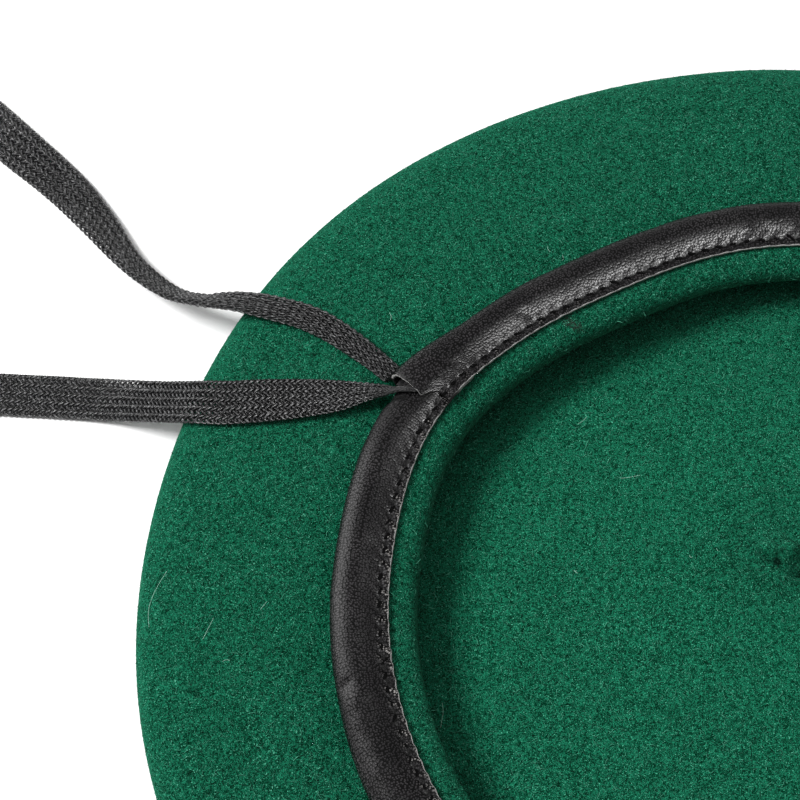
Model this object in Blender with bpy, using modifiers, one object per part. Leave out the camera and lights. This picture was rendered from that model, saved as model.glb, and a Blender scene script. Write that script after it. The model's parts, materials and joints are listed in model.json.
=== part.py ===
# Military beret of wool felt, lying crown down with its head opening up.
# The felt is one seamless shell: crown, rounded rim, flange, neck fold and a lip turned out over
# the flange. A leather band is folded over the lip's edge as a tunnel, and a flat drawstring runs
# in the tunnel and leaves it at the band's joint in two free ends.
# Metres, +Z up. The origin is the centre of the rim, on the surface that the crown rests on.

import math
from collections import namedtuple

import bmesh
import bpy
from mathutils import Vector

MM = 0.001

# Felt shell
FELT_WALL = 2.0 * MM
FELT_STEPS = 64
OPENING_CENTRE = (7.1 * MM, -9.0 * MM)
LIP_WAVE = 0.3 * MM
LIP_WAVE_LOBES = 3
CROWN_WAVE = 1.5 * MM
CROWN_WAVE_LOBES = (3, 5)
FLANGE_WAVE = 0.5 * MM
FLANGE_WAVE_LOBES = (2, 5)

# Leather band
LEATHER_WALL = 1.0 * MM
BAND_STEPS = 66
BAND_START = math.radians(151.5)
BAND_END = math.radians(517.6)
START_STRETCH = math.radians(9.0)
END_STRETCH = math.radians(13.0)

# Flat braided drawstring
CORD_WIDTH = 11.2 * MM
CORD_THICKNESS = 1.4 * MM
HIDDEN_WIDTH = 4.2 * MM
HIDDEN_THICKNESS = 2.2 * MM
HIDDEN_RADIUS = 95.5 * MM
HIDDEN_HEIGHT = 19.1 * MM
HIDDEN_START = math.radians(156.0)
HIDDEN_END = math.radians(509.5)
HIDDEN_STEPS = 60
CORD_STEP = 3.2 * MM

COLLECTION_NAME = "military_beret"

# Outer skin of the felt, ring by ring from the crown's centre to the lip's edge, in millimetres.
# rim and opening say how far a ring follows the rim's outline, and the head opening's centre and
# outline, from 0 to 1. crown and flange say how much of the crown's or the flange's waves it takes.
FeltRing = namedtuple("FeltRing", "radius height rim opening crown flange")
FELT_RINGS = [
    FeltRing(0.0, 0.0, 0.0, 0.0, 0.0, 0.0),
    FeltRing(36.0, 0.0, 0.0, 0.0, 0.0, 0.0),
    FeltRing(72.0, 0.0, 0.0, 0.0, 0.0, 0.0),
    FeltRing(88.0, 0.2, 0.1, 0.0, 0.7, 0.0),
    FeltRing(103.0, 0.3, 0.3, 0.0, 1.0, 0.0),
    FeltRing(117.0, 0.4, 0.6, 0.0, 0.8, 0.0),
    FeltRing(127.0, 1.0, 0.9, 0.0, 0.3, 0.0),
    FeltRing(134.0, 2.6, 1.0, 0.0, 0.0, 0.0),
    FeltRing(138.3, 5.0, 1.0, 0.0, 0.0, 0.0),
    FeltRing(140.0, 7.6, 1.0, 0.0, 0.0, 0.0),
    FeltRing(139.0, 10.2, 1.0, 0.0, 0.0, 0.0),
    FeltRing(135.9, 12.2, 1.0, 0.0, 0.0, 0.2),
    FeltRing(130.0, 13.4, 0.8, 0.05, 0.0, 0.6),
    FeltRing(120.0, 14.0, 0.5, 0.25, 0.0, 1.0),
    FeltRing(109.0, 14.1, 0.1, 0.60, 0.0, 0.8),
    FeltRing(99.0, 13.9, 0.0, 0.90, 0.0, 0.2),
    FeltRing(90.0, 13.8, 0.0, 1.0, 0.0, 0.0),
    FeltRing(85.6, 13.9, 0.0, 1.0, 0.0, 0.0),
    FeltRing(83.6, 14.5, 0.0, 1.0, 0.0, 0.0),
    FeltRing(83.4, 15.5, 0.0, 1.0, 0.0, 0.0),
    FeltRing(85.2, 16.4, 0.0, 1.0, 0.0, 0.0),
    FeltRing(88.6, 17.1, 0.0, 1.0, 0.0, 0.0),
    FeltRing(92.5, 17.8, 0.0, 1.0, 0.0, 0.0),
]

# Bulges and flats in a round outline: where they are, how wide, and how far they stand out.
Dent = namedtuple("Dent", "angle half_width depth")
RIM_DENTS = [
    Dent(181.0, 17.0, -0.9),
    Dent(113.0, 18.0, -1.0),
    Dent(150.0, 14.0, 0.6),
    Dent(45.0, 30.0, -0.7),
    Dent(-75.0, 36.0, 0.5),
]
OPENING_DENTS = [
    Dent(160.0, 15.0, 2.4),
    Dent(125.0, 13.0, -1.4),
    Dent(90.0, 22.0, 2.4),
    Dent(30.0, 26.0, -1.2),
    Dent(-60.0, 34.0, 1.4),
    Dent(-140.0, 28.0, -0.6),
]

# Middle of the leather across the band, from the raw stitched edge over the roll and under the lip.
# start and end say how far the band's two ends stand out there, so one slips over the other.
BandPoint = namedtuple("BandPoint", "radius height start end")
BAND_SECTION = [
    BandPoint(87.0, 19.9, 0.0, 1.6),
    BandPoint(88.9, 20.3, 0.0, 1.5),
    BandPoint(90.4, 20.6, 0.0, 1.4),
    BandPoint(91.9, 21.4, -0.2, 1.2),
    BandPoint(94.2, 22.1, -0.6, 1.0),
    BandPoint(96.8, 21.7, -0.7, 1.5),
    BandPoint(98.8, 20.4, -0.7, 3.0),
    BandPoint(99.5, 18.7, -0.6, 3.4),
    BandPoint(98.8, 17.2, -0.4, 2.0),
    BandPoint(96.8, 16.4, 0.0, 1.1),
    BandPoint(94.4, 16.3, 0.0, 1.1),
    BandPoint(91.6, 16.3, 0.0, 1.1),
    BandPoint(89.4, 16.2, 0.0, 1.1),
]

# Routes of the drawstring's free ends, laid over the flange and the rim and down to the surface.
# lean is how far the flat cord turns from lying flat; share is its width against the full width.
CordPoint = namedtuple("CordPoint", "x y z lean share")
UPPER_ROUTE = [
    CordPoint(-90.4, 33.9, 16.9, 0.0, 0.34),
    CordPoint(-95.3, 37.1, 16.2, 2.0, 0.42),
    CordPoint(-102.2, 41.3, 15.4, 2.0, 0.52),
    CordPoint(-109.1, 44.8, 15.2, 4.0, 0.57),
    CordPoint(-115.8, 46.9, 15.2, 6.0, 0.59),
    CordPoint(-125.4, 48.2, 15.2, 12.0, 0.60),
    CordPoint(-130.9, 48.5, 15.2, 20.0, 0.57),
    CordPoint(-135.5, 48.6, 14.6, 28.0, 0.56),
    CordPoint(-141.8, 49.4, 12.2, 40.0, 0.55),
    CordPoint(-149.5, 52.0, 8.8, 40.0, 0.57),
    CordPoint(-158.0, 57.0, 6.2, 36.0, 0.62),
    CordPoint(-166.7, 63.5, 4.6, 32.0, 0.70),
    CordPoint(-176.3, 72.6, 3.4, 22.0, 0.88),
    CordPoint(-186.0, 81.2, 2.2, 12.0, 0.98),
    CordPoint(-195.0, 87.9, 1.4, 5.0, 1.02),
    CordPoint(-203.9, 93.8, 1.0, 0.0, 1.06),
    CordPoint(-212.9, 99.8, 0.9, 0.0, 1.10),
    CordPoint(-220.0, 104.6, 0.9, 0.0, 1.10),
]
LOWER_ROUTE = [
    CordPoint(-90.9, 28.9, 17.0, 12.0, 0.26),
    CordPoint(-95.8, 28.0, 16.4, 10.0, 0.48),
    CordPoint(-101.5, 26.5, 15.7, 8.0, 0.74),
    CordPoint(-110.4, 24.6, 15.4, 4.0, 0.92),
    CordPoint(-119.6, 22.6, 15.4, 2.0, 1.0),
    CordPoint(-127.6, 21.0, 15.2, 0.0, 1.0),
    CordPoint(-133.8, 20.8, 14.3, 0.0, 1.0),
    CordPoint(-141.0, 21.7, 10.8, 0.0, 1.0),
    CordPoint(-148.5, 23.1, 6.6, 0.0, 1.0),
    CordPoint(-155.9, 24.2, 3.2, 0.0, 1.0),
    CordPoint(-164.0, 24.4, 1.3, 0.0, 1.0),
    CordPoint(-175.4, 23.6, 0.9, 0.0, 1.0),
    CordPoint(-188.0, 22.4, 0.9, 0.0, 1.0),
    CordPoint(-194.0, 21.9, 0.9, 0.0, 1.0),
]


def clear_scene():
    for obj in list(bpy.data.objects):
        bpy.data.objects.remove(obj, do_unlink=True)


def make_material(name, colour, roughness):
    material = bpy.data.materials.new(name)
    material.use_nodes = True
    shader = material.node_tree.nodes["Principled BSDF"]
    shader.inputs["Base Color"].default_value = (*colour, 1.0)
    shader.inputs["Roughness"].default_value = roughness
    shader.inputs["Metallic"].default_value = 0.0
    return material


def add_mesh_object(name, mesh_builder, collection, material):
    mesh = bpy.data.meshes.new(name)
    mesh_builder.to_mesh(mesh)
    mesh_builder.free()
    mesh.shade_smooth()
    mesh.materials.append(material)
    obj = bpy.data.objects.new(name, mesh)
    collection.objects.link(obj)
    return obj


def add_wall(obj, thickness, offset):
    solidify = obj.modifiers.new("Wall", "SOLIDIFY")
    solidify.thickness = thickness
    solidify.offset = offset
    solidify.use_even_offset = True


def smooth_share(value):
    share = max(0.0, min(1.0, value))
    return share * share * (3.0 - 2.0 * share)


def outline_swell(dents, angle):
    """How far an outline stands out of its round shape, in metres."""
    swell = 0.0
    for dent in dents:
        turn = math.remainder(angle - math.radians(dent.angle), math.tau)
        swell += dent.depth * MM * math.exp(-((turn / math.radians(dent.half_width)) ** 2))
    return swell


def two_lobe_wave(angle, lobes):
    """A slow wave round the beret, from 0 to 1."""
    first, second = lobes
    return 0.5 + 0.28 * math.sin(first * angle + 0.8) + 0.22 * math.sin(second * angle + 2.1)


def opening_point(angle, radius, height, follow=1.0):
    """A point near the head opening, at a polar place about the opening's centre."""
    reach = radius + follow * outline_swell(OPENING_DENTS, angle)
    lift = follow * LIP_WAVE * math.sin(LIP_WAVE_LOBES * angle)
    return Vector((
        follow * OPENING_CENTRE[0] + reach * math.cos(angle),
        follow * OPENING_CENTRE[1] + reach * math.sin(angle),
        height + lift,
    ))


def felt_point(ring, angle):
    """A point of the felt's outer skin on one ring."""
    radius = ring.radius * MM + ring.rim * outline_swell(RIM_DENTS, angle)
    point = opening_point(angle, radius, ring.height * MM, ring.opening)
    point.z += ring.crown * CROWN_WAVE * two_lobe_wave(angle, CROWN_WAVE_LOBES)
    point.z -= ring.flange * FLANGE_WAVE * two_lobe_wave(angle, FLANGE_WAVE_LOBES)
    return point


def build_felt_body(collection):
    """The whole felt shell: its outer skin is spun, shaped ring by ring and given its wall."""
    builder = bmesh.new()
    ring_number = builder.verts.layers.int.new("ring_number")
    profile = []
    for number, ring in enumerate(FELT_RINGS):
        vert = builder.verts.new((ring.radius * MM, 0.0, ring.height * MM))
        vert[ring_number] = number
        profile.append(vert)
    edges = [builder.edges.new(pair) for pair in zip(profile, profile[1:])]
    bmesh.ops.spin(
        builder, geom=profile + edges, cent=(0.0, 0.0, 0.0), axis=(0.0, 0.0, 1.0),
        angle=math.tau, steps=FELT_STEPS, use_merge=True,
    )
    for vert in builder.verts:
        ring = FELT_RINGS[vert[ring_number]]
        vert.co = felt_point(ring, math.atan2(vert.co.y, vert.co.x))
    bmesh.ops.remove_doubles(builder, verts=builder.verts, dist=0.01 * MM)
    bmesh.ops.recalc_face_normals(builder, faces=builder.faces)
    if min(builder.faces, key=lambda face: face.calc_center_median().z).normal.z > 0.0:
        bmesh.ops.reverse_faces(builder, faces=builder.faces)
    material = make_material("green_felt", (0.010, 0.105, 0.055), 0.95)
    felt = add_mesh_object("felt_body", builder, collection, material)
    add_wall(felt, FELT_WALL, -1.0)


def section_normals():
    """The direction out of the tunnel at each point of the band's section, in its own plane."""
    normals = []
    last = len(BAND_SECTION) - 1
    for number in range(len(BAND_SECTION)):
        before = BAND_SECTION[max(number - 1, 0)]
        after = BAND_SECTION[min(number + 1, last)]
        along = Vector((after.radius - before.radius, after.height - before.height)).normalized()
        normals.append(Vector((-along.y, along.x)))
    return normals


def band_point(number, normal, angle):
    """A point of the leather's middle; near its ends the band is drawn in or stands out."""
    place = BAND_SECTION[number]
    start_share = smooth_share(1.0 - (angle - BAND_START) / START_STRETCH)
    end_share = smooth_share(1.0 - (BAND_END - angle) / END_STRETCH)
    shift = place.start * start_share + place.end * end_share
    radius = place.radius + normal.x * shift
    height = place.height + normal.y * shift
    return opening_point(angle, radius * MM, height * MM)


def build_leather_band(collection):
    """The leather band: a straight strip wrapped round the opening and folded over the lip."""
    normals = section_normals()
    columns = len(BAND_SECTION) - 1
    builder = bmesh.new()
    bmesh.ops.create_grid(builder, x_segments=BAND_STEPS, y_segments=columns, size=0.5)
    for vert in builder.verts:
        along = vert.co.x + 0.5
        number = round((vert.co.y + 0.5) * columns)
        angle = BAND_START + (BAND_END - BAND_START) * along
        vert.co = band_point(number, normals[number], angle)
    bmesh.ops.recalc_face_normals(builder, faces=builder.faces)
    material = make_material("black_leather", (0.018, 0.017, 0.018), 0.42)
    band = add_mesh_object("leather_band", builder, collection, material)
    add_wall(band, LEATHER_WALL, 0.0)


def add_flat_cord(name, points, leans, shares, width, thickness, collection, material):
    """A flat cord with round edges: a curve with half its width drawn out to either side."""
    curve = bpy.data.curves.new(name, "CURVE")
    curve.dimensions = "3D"
    curve.fill_mode = "FULL"
    curve.twist_mode = "Z_UP"
    curve.extrude = 0.5 * (width - thickness)
    curve.bevel_depth = 0.5 * thickness
    curve.bevel_resolution = 1
    curve.use_fill_caps = True
    spline = curve.splines.new("POLY")
    spline.points.add(len(points) - 1)
    for knot, point, lean, share in zip(spline.points, points, leans, shares):
        knot.co = (*point, 1.0)
        knot.tilt = math.radians(90.0 + lean)
        knot.radius = share
    curve.materials.append(material)
    obj = bpy.data.objects.new(name, curve)
    collection.objects.link(obj)
    return obj


def build_hidden_cord(collection, material):
    """The drawstring inside the band's tunnel, drawn narrow, from joint to joint."""
    points = []
    for number in range(HIDDEN_STEPS + 1):
        angle = HIDDEN_START + (HIDDEN_END - HIDDEN_START) * number / HIDDEN_STEPS
        points.append(opening_point(angle, HIDDEN_RADIUS, HIDDEN_HEIGHT))
    leans = [0.0] * len(points)
    shares = [1.0] * len(points)
    add_flat_cord("drawstring_in_band", points, leans, shares, HIDDEN_WIDTH, HIDDEN_THICKNESS,
                  collection, material)


def smooth_route(route):
    """Even samples of a smooth curve through the route's points, with their lean and width."""
    samples = []
    for number in range(len(route) - 1):
        p0 = route[max(number - 1, 0)]
        p1 = route[number]
        p2 = route[number + 1]
        p3 = route[min(number + 2, len(route) - 1)]
        for step in range(12):
            t = step / 12.0
            samples.append([
                0.5 * (2.0 * b + (c - a) * t + (2.0 * a - 5.0 * b + 4.0 * c - d) * t * t
                       + (3.0 * b - a - 3.0 * c + d) * t ** 3)
                for a, b, c, d in zip(p0, p1, p2, p3)
            ])
    samples.append(list(route[-1]))
    travelled = [0.0]
    for before, after in zip(samples, samples[1:]):
        travelled.append(travelled[-1] + math.dist(before[:3], after[:3]) * MM)
    count = round(travelled[-1] / CORD_STEP)
    evened = []
    place = 0
    for number in range(count + 1):
        target = travelled[-1] * number / count
        while place < len(samples) - 2 and travelled[place + 1] < target:
            place += 1
        part = (target - travelled[place]) / (travelled[place + 1] - travelled[place])
        evened.append([a + (b - a) * part for a, b in zip(samples[place], samples[place + 1])])
    return evened


def build_free_end(name, route, collection, material):
    """One free end of the drawstring, from the band's joint to its sealed tip."""
    samples = smooth_route(route)
    points = [Vector(sample[:3]) * MM for sample in samples]
    leans = [sample[3] for sample in samples]
    shares = [sample[4] for sample in samples]
    add_flat_cord(name, points, leans, shares, CORD_WIDTH, CORD_THICKNESS, collection, material)


def build_beret():
    clear_scene()
    collection = bpy.data.collections.new(COLLECTION_NAME)
    bpy.context.scene.collection.children.link(collection)
    build_felt_body(collection)
    build_leather_band(collection)
    cord_material = make_material("black_braid", (0.022, 0.022, 0.023), 0.8)
    build_hidden_cord(collection, cord_material)
    build_free_end("drawstring_upper_end", UPPER_ROUTE, collection, cord_material)
    build_free_end("drawstring_lower_end", LOWER_ROUTE, collection, cord_material)


build_beret()
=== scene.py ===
import json
import math

import bmesh
import bpy
from mathutils import Matrix, Quaternion, Vector, noise

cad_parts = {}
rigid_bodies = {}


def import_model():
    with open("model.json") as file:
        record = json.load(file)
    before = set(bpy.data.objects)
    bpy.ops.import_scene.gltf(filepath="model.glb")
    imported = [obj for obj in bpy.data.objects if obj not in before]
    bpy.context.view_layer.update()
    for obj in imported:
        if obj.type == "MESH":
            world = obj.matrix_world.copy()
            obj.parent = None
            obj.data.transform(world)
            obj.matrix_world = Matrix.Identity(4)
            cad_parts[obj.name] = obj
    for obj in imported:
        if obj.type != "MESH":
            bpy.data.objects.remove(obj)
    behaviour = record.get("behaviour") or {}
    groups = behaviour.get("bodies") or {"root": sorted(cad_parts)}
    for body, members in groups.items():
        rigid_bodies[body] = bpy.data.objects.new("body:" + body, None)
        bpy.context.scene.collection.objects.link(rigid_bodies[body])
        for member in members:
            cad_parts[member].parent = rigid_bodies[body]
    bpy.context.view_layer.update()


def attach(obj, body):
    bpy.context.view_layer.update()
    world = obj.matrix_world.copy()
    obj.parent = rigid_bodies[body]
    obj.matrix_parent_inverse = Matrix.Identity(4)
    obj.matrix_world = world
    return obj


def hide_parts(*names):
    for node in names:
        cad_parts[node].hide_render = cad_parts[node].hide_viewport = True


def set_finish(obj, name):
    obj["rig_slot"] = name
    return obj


# Green felt beret lying crown down: felt shell, leather band, braided drawstring, nap and lint.
# Places are metres in the CAD's frame. The part's own centre is the middle of the round rim.

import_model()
mm = 0.001


# Helpers for shapes

def smoothShare(value):
    share = max(0.0, min(1.0, value))
    return share * share * (3.0 - 2.0 * share)


def hump(distance, halfWidth):
    return math.exp(-((distance / halfWidth) ** 2))


def ripple(x, y, z=0.0):
    # Smooth noise from -1 to 1
    return noise.noise(Vector((x, y, z)))


def smoothRows(rows, stepsEach=16):
    # A smooth curve through rows of numbers
    smoothed = []
    for number in range(len(rows) - 1):
        before = rows[max(number - 1, 0)]
        here = rows[number]
        there = rows[number + 1]
        after = rows[min(number + 2, len(rows) - 1)]
        for step in range(stepsEach):
            t = step / stepsEach
            smoothed.append([
                0.5 * (2.0 * b + (c - a) * t + (2.0 * a - 5.0 * b + 4.0 * c - d) * t * t
                       + (3.0 * b - a - 3.0 * c + d) * t ** 3)
                for a, b, c, d in zip(before, here, there, after)
            ])
    smoothed.append(list(rows[-1]))
    return smoothed


def evenRows(rows, size, gap):
    # Rows set out again a gap apart, measured on their first numbers; gap is asked at each row
    travelled = [0.0]
    for before, after in zip(rows, rows[1:]):
        stretch = math.dist(before[:size], after[:size])
        travelled.append(travelled[-1] + stretch / gap(before))
    count = max(1, round(travelled[-1]))
    evened = []
    place = 0
    for number in range(count + 1):
        target = travelled[-1] * number / count
        while place < len(rows) - 2 and travelled[place + 1] < target:
            place += 1
        part = (target - travelled[place]) / (travelled[place + 1] - travelled[place])
        evened.append([a + (b - a) * part for a, b in zip(rows[place], rows[place + 1])])
    return evened


def addPiece(name, data, slotName, *materials):
    # An object for the finished mesh or curve, riding on the beret
    for material in materials:
        data.materials.append(material)
    piece = bpy.data.objects.new(name, data)
    bpy.context.scene.collection.objects.link(piece)
    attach(piece, "root")
    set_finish(piece, slotName)
    return piece


def meshFrom(builder, name):
    mesh = bpy.data.meshes.new(name)
    builder.to_mesh(mesh)
    builder.free()
    mesh.shade_smooth()
    return mesh


def newCurve(name, thickness, roundness):
    curve = bpy.data.curves.new(name, "CURVE")
    curve.dimensions = "3D"
    curve.bevel_depth = thickness
    curve.bevel_resolution = roundness
    curve.use_fill_caps = True
    return curve


def addSpline(curve, count):
    spline = curve.splines.new("POLY")
    spline.points.add(count - 1)
    return spline.points


def wrapped(around, rows, placeAt):
    # A grid closed round on itself. A spin would start its faces at other corners on another run,
    # and the nap, which is scattered from those corners, would come out different.
    builder = bmesh.new()
    bmesh.ops.create_grid(builder, x_segments=around, y_segments=rows, size=0.5)
    for vert in builder.verts:
        column = round((vert.co.x + 0.5) * around)
        vert.co = placeAt(round((vert.co.y + 0.5) * rows), math.tau * column / around)
    bmesh.ops.remove_doubles(builder, verts=builder.verts, dist=0.005 * mm)
    bmesh.ops.recalc_face_normals(builder, faces=builder.faces)
    return builder


def settle(piece):
    # Modifiers or a curve's thickness become the piece's own mesh
    graph = bpy.context.evaluated_depsgraph_get()
    settled = bpy.data.meshes.new_from_object(piece.evaluated_get(graph))
    settled.name = piece.name
    settled.shade_smooth()
    if piece.type == "MESH":
        piece.modifiers.clear()
        piece.data = settled
        return piece
    name = piece.name
    slotName = piece["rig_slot"]
    bpy.data.objects.remove(piece)
    return addPiece(name, settled, slotName)


# Helpers for materials

def newMaterial(name, sockets):
    material = bpy.data.materials.new(name)
    material.use_nodes = True
    shader = material.node_tree.nodes["Principled BSDF"]
    for socket, value in sockets.items():
        shader.inputs[socket].default_value = value
    return material, material.node_tree, shader


def addNode(tree, kind, sockets, **settings):
    # A node with its settings; a socket takes a number or another node's output
    node = tree.nodes.new(kind)
    for setting, value in settings.items():
        setattr(node, setting, value)
    for socket, value in sockets.items():
        if isinstance(value, bpy.types.NodeSocket):
            tree.links.new(value, node.inputs[socket])
        else:
            node.inputs[socket].default_value = value
    return node


def calc(tree, operation, first, second=0.0):
    return addNode(tree, "ShaderNodeMath", {0: first, 1: second}, operation=operation).outputs[0]


def spread(tree, value, low, high, newLow=0.0, newHigh=1.0):
    return addNode(tree, "ShaderNodeMapRange", {
        "Value": value, "From Min": low, "From Max": high, "To Min": newLow, "To Max": newHigh,
    }, interpolation_type="SMOOTHSTEP").outputs["Result"]


def noiseField(tree, vector, scale, detail=2.0, rough=0.5, distort=0.0):
    return addNode(tree, "ShaderNodeTexNoise", {
        "Vector": vector, "Scale": scale, "Detail": detail, "Roughness": rough, "Distortion": distort,
    }).outputs["Fac"]


def blend(tree, share, first, second):
    # Mixes two colours by a share
    return addNode(tree, "ShaderNodeMix", {0: share, 6: first, 7: second}, data_type="RGBA").outputs[2]


def rgb(red, green, blue):
    return (red, green, blue, 1.0)


def placeOn(tree):
    # Coordinates on the piece itself, in metres
    return addNode(tree, "ShaderNodeTexCoord", {}).outputs["Object"]


def ownAttribute(tree, name, output):
    return addNode(tree, "ShaderNodeAttribute", {}, attribute_name=name).outputs[output]


def distanceFrom(tree, place, spot):
    return addNode(tree, "ShaderNodeVectorMath", {0: place, 1: spot}, operation="DISTANCE").outputs["Value"]


def addRelief(tree, shader, height, distance, strength=1.0):
    bump = addNode(tree, "ShaderNodeBump", {"Strength": strength, "Distance": distance, "Height": height})
    tree.links.new(bump.outputs["Normal"], shader.inputs["Normal"])


# Camera, at the photograph's angle

cameraView = {
    "place": (0.0, -0.186685, 0.411553),
    "aim": (-0.0874, 0.0279, 0.015),
    "rollDegrees": 11.77,
    "lens": 90.0,
}


def makeCamera():
    lens = bpy.data.cameras.new("camera")
    lens.lens = cameraView["lens"]
    lens.clip_start = 0.01
    lens.clip_end = 20.0
    camera = bpy.data.objects.new("camera", lens)
    bpy.context.scene.collection.objects.link(camera)
    ahead = Vector(cameraView["aim"]) - Vector(cameraView["place"])
    roll = Quaternion(ahead.normalized(), math.radians(cameraView["rollDegrees"]))
    camera.rotation_mode = "QUATERNION"
    camera.rotation_quaternion = roll @ ahead.to_track_quat("-Z", "Y")
    camera.location = cameraView["place"]
    bpy.context.scene.camera = camera


makeCamera()
print("camera placed")


# Soft studio light and a pale floor

studio = {
    "floorSize": 6.0,
    "floorColour": rgb(0.96, 0.96, 0.96),
    "roomColour": rgb(1.0, 1.0, 1.0),
    "roomLight": 0.29,
    "floorDrop": 0.2 * mm,  # how far the floor lies under the beret
}
softboxes = [  # name, place, width and height in metres, watts; matt ones only light, gloss ones only reflect
    ("key", (-0.80, -0.12, 1.18), 0.50, 0.50, 22.5, "matt"),
    ("fill", (0.0, 0.0, 1.50), 1.60, 1.60, 5.2, "matt"),
    ("leftPanel", (-1.17, 0.31, 0.60), 0.75, 1.05, 11.5, "gloss"),
    ("topGlint", (0.65, -0.385, 1.18), 0.66, 0.09, 34.0, "gloss"),
    ("rightGlint", (1.15, -0.15, 0.95), 0.30, 0.30, 10.0, "gloss"),
]


def makeStudio():
    scene = bpy.context.scene
    scene.view_settings.view_transform = "Standard"
    world = bpy.data.worlds.new("room")
    world.use_nodes = True
    background = world.node_tree.nodes["Background"]
    background.inputs["Color"].default_value = studio["roomColour"]
    background.inputs["Strength"].default_value = studio["roomLight"]
    scene.world = world
    builder = bmesh.new()
    bmesh.ops.create_grid(builder, x_segments=1, y_segments=1, size=studio["floorSize"] / 2)
    bmesh.ops.translate(builder, verts=builder.verts, vec=(0.0, 0.0, -studio["floorDrop"]))
    floor = bpy.data.objects.new("floor", meshFrom(builder, "floor"))
    material = newMaterial("paleFloor", {
        "Base Color": studio["floorColour"], "Roughness": 0.7, "Specular IOR Level": 0.2,
    })[0]
    floor.data.materials.append(material)
    scene.collection.objects.link(floor)
    for name, place, wide, high, watts, shows in softboxes:
        light = bpy.data.lights.new(name, "AREA")
        light.shape = "RECTANGLE"
        light.size = wide
        light.size_y = high
        light.energy = watts
        lamp = bpy.data.objects.new(name, light)
        lamp.location = place
        lamp.rotation_mode = "QUATERNION"
        lamp.rotation_quaternion = (-Vector(place)).to_track_quat("-Z", "Y")
        lamp.visible_diffuse = shows != "gloss"
        lamp.visible_glossy = shows != "matt"
        scene.collection.objects.link(lamp)


makeStudio()
print("studio ready")


# Braided drawstring

braid = {
    "width": 11.2 * mm,
    "rise": 0.36 * mm,  # from the cord's middle plane to each of its two layers
    "yarns": 20,  # spiralling each way round the flat tube
    "yarnRadius": 0.33 * mm,
    "weave": 0.31 * mm,  # how far a yarn rises over the ones it crosses
    "edgeCalm": 0.75,  # how much less it rises where it turns round the cord's edge
    "plump": 0.36,  # how much thicker a yarn is on top than where it dives
    "gap": 0.46 * mm,  # between the points along a yarn
    "thread": rgb(0.0045, 0.0045, 0.0050),
    "threadWorn": rgb(0.185, 0.185, 0.189),
    "threadDull": rgb(0.005, 0.005, 0.0055),
    "fattened": 0.8,  # how much thicker the cord grows where it is drawn narrow
    "bunchedUnder": 0.45,  # share of the width under which the yarns bunch up
    "paintedMouthShade": (-0.0860, 0.0268, 0.0220),  # where the lower end is squeezed into the band's mouth; its colour is darkened round here as painted shade
}
upperEnd = {
    "pace": 0.55,  # how far a yarn goes across for each step along
    "route": [  # x, y, z, lean in degrees, share of the width
        (-0.0898, 0.0328, 0.0172, 0.0, 0.42),
        (-0.0953, 0.0369, 0.0162, 2.0, 0.46),
        (-0.1022, 0.0413, 0.0154, 2.0, 0.52),
        (-0.1091, 0.0448, 0.0152, 4.0, 0.57),
        (-0.1158, 0.0469, 0.0152, 6.0, 0.59),
        (-0.1254, 0.0482, 0.0152, 12.0, 0.60),
        (-0.1309, 0.0485, 0.0152, 20.0, 0.57),
        (-0.1355, 0.0486, 0.0146, 28.0, 0.56),
        (-0.1418, 0.0494, 0.0122, 40.0, 0.55),
        (-0.1495, 0.0520, 0.0088, 40.0, 0.57),
        (-0.1580, 0.0570, 0.0062, 36.0, 0.62),
        (-0.1667, 0.0635, 0.0046, 32.0, 0.70),
        (-0.1763, 0.0726, 0.0034, 22.0, 0.88),
        (-0.1860, 0.0812, 0.0022, 12.0, 0.98),
        (-0.1950, 0.0879, 0.0014, 5.0, 1.02),
        (-0.2039, 0.0938, 0.0010, 0.0, 1.06),
        (-0.2129, 0.0998, 0.0009, 0.0, 1.10),
        (-0.2200, 0.1046, 0.0009, 0.0, 1.10),
    ],
}
lowerEnd = {
    "pace": 0.84,
    "route": [
        (-0.0824, 0.0268, 0.0229, 0.0, 0.08),
        (-0.0845, 0.0267, 0.0228, 0.0, 0.09),
        (-0.0865, 0.0270, 0.0219, 2.0, 0.11),
        (-0.0884, 0.0273, 0.0203, 5.0, 0.15),
        (-0.0903, 0.0279, 0.0185, 8.0, 0.24),
        (-0.0927, 0.0282, 0.0172, 11.0, 0.31),
        (-0.0958, 0.0279, 0.0164, 10.0, 0.45),
        (-0.1015, 0.0265, 0.0157, 8.0, 0.74),
        (-0.1104, 0.0246, 0.0154, 4.0, 0.92),
        (-0.1196, 0.0226, 0.0154, 2.0, 1.0),
        (-0.1276, 0.0210, 0.0152, 0.0, 1.0),
        (-0.1338, 0.0208, 0.0143, 0.0, 1.0),
        (-0.1410, 0.0217, 0.0108, 0.0, 1.0),
        (-0.1485, 0.0231, 0.0066, 0.0, 1.0),
        (-0.1559, 0.0242, 0.0032, 0.0, 1.0),
        (-0.1640, 0.0244, 0.0013, 0.0, 1.0),
        (-0.1754, 0.0236, 0.0009, 0.0, 1.0),
        (-0.1880, 0.0224, 0.0009, 0.0, 1.0),
        (-0.1940, 0.0219, 0.0009, 0.0, 1.0),
    ],
}


def cordFrames(samples):
    # At each sample: its place, the way across the flat cord and the way out of its upper face
    frames = []
    last = len(samples) - 1
    for number, sample in enumerate(samples):
        ahead = Vector(samples[min(number + 1, last)][:3]) - Vector(samples[max(number - 1, 0)][:3])
        ahead.normalize()
        level = Vector((0.0, 0.0, 1.0)).cross(ahead).normalized()
        up = ahead.cross(level)
        lean = math.radians(sample[3])
        across = level * math.cos(lean) + up * math.sin(lean)
        out = up * math.cos(lean) - level * math.sin(lean)
        frames.append((Vector(sample[:3]), across, out))
    return frames


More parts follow.
